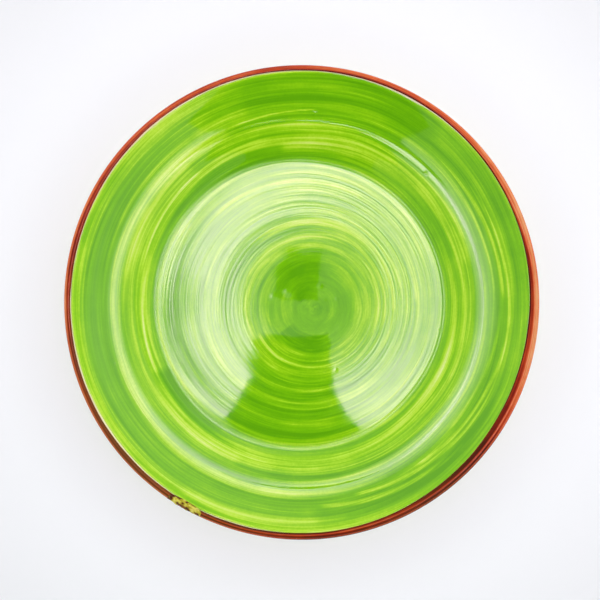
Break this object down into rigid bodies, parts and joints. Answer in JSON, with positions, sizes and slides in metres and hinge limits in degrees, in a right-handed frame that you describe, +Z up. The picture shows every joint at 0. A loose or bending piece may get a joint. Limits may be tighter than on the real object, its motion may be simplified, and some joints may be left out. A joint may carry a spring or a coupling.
{
  "type": "hand painted ceramic plate",
  "caption": "Round wheel-thrown earthenware dinner plate with a foot ring, green brushed ring glaze over a cream ground and a red painted lip, for serving food.",
  "frame": {"origin": "centre of the foot ring's underside, on the surface that the plate stands on", "axes": "+Z up along the plate's axis of turning; the plate is round, so +X and +Y are free, and the olive fleck on the lip lies at 240 degrees from +X towards +Y"},
  "size_m": [0.25, 0.25, 0.0255],
  "materials": {
    "clay": "fired earthenware, buff to terracotta, fine sandy grain",
    "bare_foot": "bare turned terracotta, matt, with turning lines and a worn edge",
    "ground": "cream ground glaze, glossy, with pinholes",
    "green_paint": "translucent lime green brushed in rings, streaked from yellow-green to deep green, under a clear gloss",
    "line_paint": "dark brown brushed line, glossy",
    "rim_paint": "iron red brushed over the lip, uneven, glossy",
    "olive_glaze": "olive yellow glaze bead, lumpy, glossy"
  },
  "bodies": {
    "root": {"clay_body": "clay", "foot_ring": "bare_foot", "face_ground": "ground", "back_ground": "ground", "foot_well_ground": "ground", "centre_coat": "green_paint", "well_coat": "green_paint", "cove_coat": "green_paint", "flange_coat": "green_paint", "rim_line": "line_paint", "rim_band": "rim_paint", "rim_fleck": "olive_glaze"}
  },
  "joints": []
}
